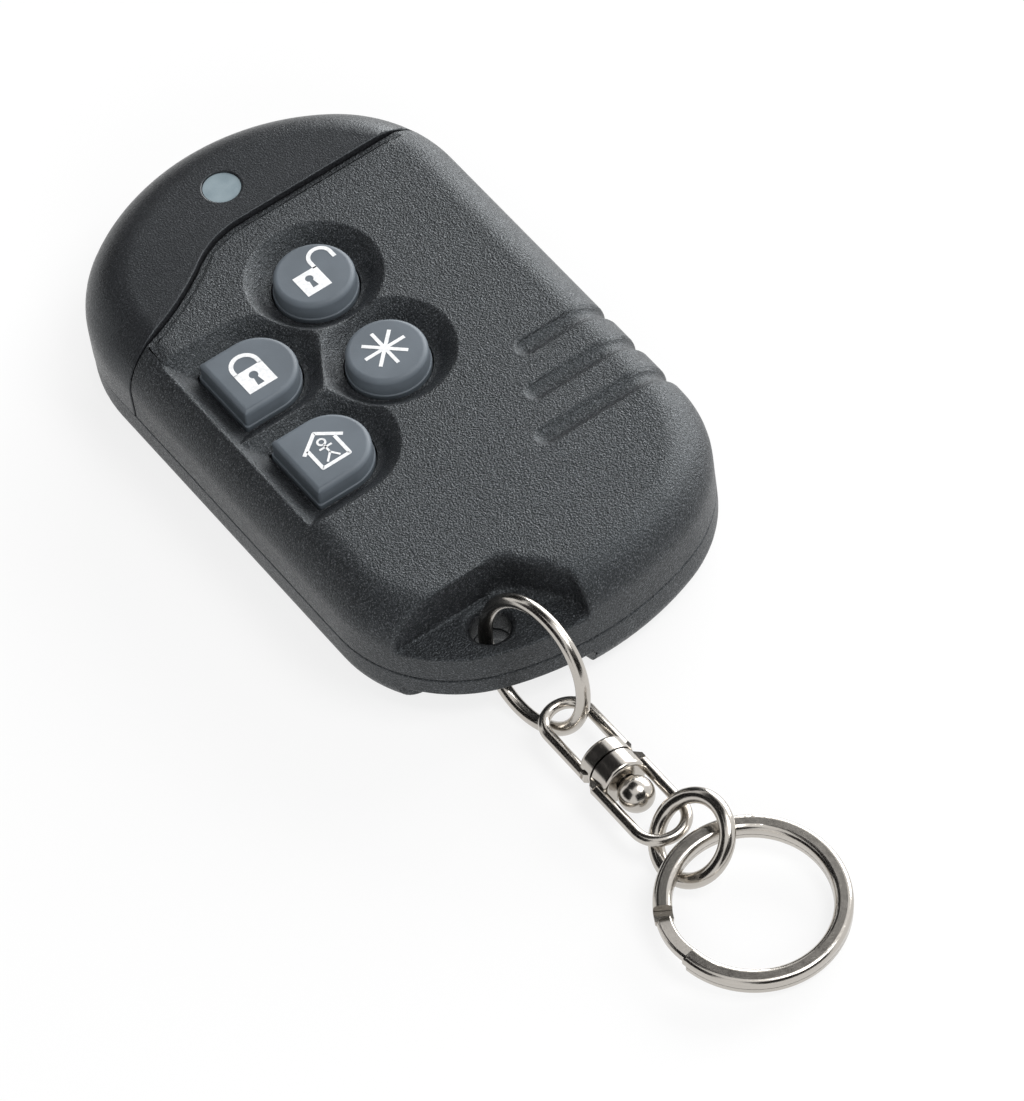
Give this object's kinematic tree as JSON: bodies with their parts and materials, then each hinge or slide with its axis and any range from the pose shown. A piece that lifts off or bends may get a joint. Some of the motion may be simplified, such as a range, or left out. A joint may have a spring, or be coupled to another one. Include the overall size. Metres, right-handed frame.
{
  "type": "alarm key fob",
  "caption": "Rounded alarm remote on a key chain: press keys in sunken wells, an indicator lens in a separate end cap, grip grooves, and a ring eye with swivel and split ring.",
  "frame": {"origin": "centre of the flat rear face", "axes": "+Z out of the front face, +Y to the indicator end, +X to the side with the grip grooves"},
  "size_m": [0.0362, 0.0999, 0.0128],
  "materials": {
    "shell": "fine moulded grain",
    "cap": "smooth matt",
    "lens": "frosted translucent",
    "key": "smooth matt silicone",
    "mat": "matt silicone",
    "board": "solder mask",
    "led": "clear resin",
    "chip": "moulded epoxy",
    "can": "plated",
    "chip_ceramic": "ceramic",
    "copper": "tinned copper",
    "contact": "plated spring brass",
    "nickel": "bright nickel plate"
  },
  "bodies": {
    "housing": {"front_cover": "shell", "end_cap": "cap", "rear_cover": "shell", "light_pipe": "lens", "keypad_mat": "mat", "circuit_board": "board", "dome_unlock": "can", "dome_lock": "can", "dome_star": "can", "dome_home": "can", "led": "led", "control_chip": "chip", "resonator": "can", "chip_parts": "chip_ceramic", "antenna_loop": "copper", "coin_cell": "can", "cell_clip": "contact", "cell_pad": "contact"},
    "unlock_key": {"key_unlock": "key"},
    "lock_key": {"key_lock": "key"},
    "star_key": {"key_star": "key"},
    "home_key": {"key_home": "key"},
    "jump": {"jump_ring": "nickel"},
    "upper_swivel": {"upper_link": "nickel", "swivel_rivet": "nickel"},
    "lower_swivel": {"lower_link": "nickel"},
    "connector": {"small_ring": "nickel"},
    "key_ring": {"split_ring": "nickel"}
  },
  "joints": [
    {"name": "unlock_press", "type": "slide", "parent": "housing", "child": "unlock_key", "axis": [0, 0, -1], "range_m": [0, 0.0006], "stiffness_N_per_m": 2500, "springref_m": -0.0001},
    {"name": "lock_press", "type": "slide", "parent": "housing", "child": "lock_key", "axis": [0, 0, -1], "range_m": [0, 0.0006], "stiffness_N_per_m": 2500, "springref_m": -0.0001},
    {"name": "star_press", "type": "slide", "parent": "housing", "child": "star_key", "axis": [0, 0, -1], "range_m": [0, 0.0006], "stiffness_N_per_m": 2500, "springref_m": -0.0001},
    {"name": "home_press", "type": "slide", "parent": "housing", "child": "home_key", "axis": [0, 0, -1], "range_m": [0, 0.0006], "stiffness_N_per_m": 2500, "springref_m": -0.0001},
    {"name": "jump_turn", "type": "hinge", "parent": "housing", "child": "jump", "pos_m": [-0.0086, -0.0267, 0.005], "axis": [0, 0, 1], "range_deg": [-40, 30]},
    {"name": "upper_swing", "type": "hinge", "parent": "jump", "child": "upper_swivel", "pos_m": [-0.00808, -0.03628, 0.0025], "axis": [0.2536, -0.6454, 0.7205], "range_deg": [-40, 40]},
    {"name": "swivel_turn", "type": "hinge", "parent": "upper_swivel", "child": "lower_swivel", "pos_m": [-0.0076, -0.0427, 0.0025], "axis": [0, 1, 0], "continuous": true},
    {"name": "connector_roll", "type": "hinge", "parent": "lower_swivel", "child": "connector", "pos_m": [-0.00685, -0.0523, 0.00295], "axis": [0, -1, 0], "range_deg": [0, 65]},
    {"name": "key_ring_lift", "type": "hinge", "parent": "connector", "child": "key_ring", "pos_m": [-0.0065, -0.05262, 0.00273], "axis": [1, 0, 0], "range_deg": [-60, 0]}
  ]
}
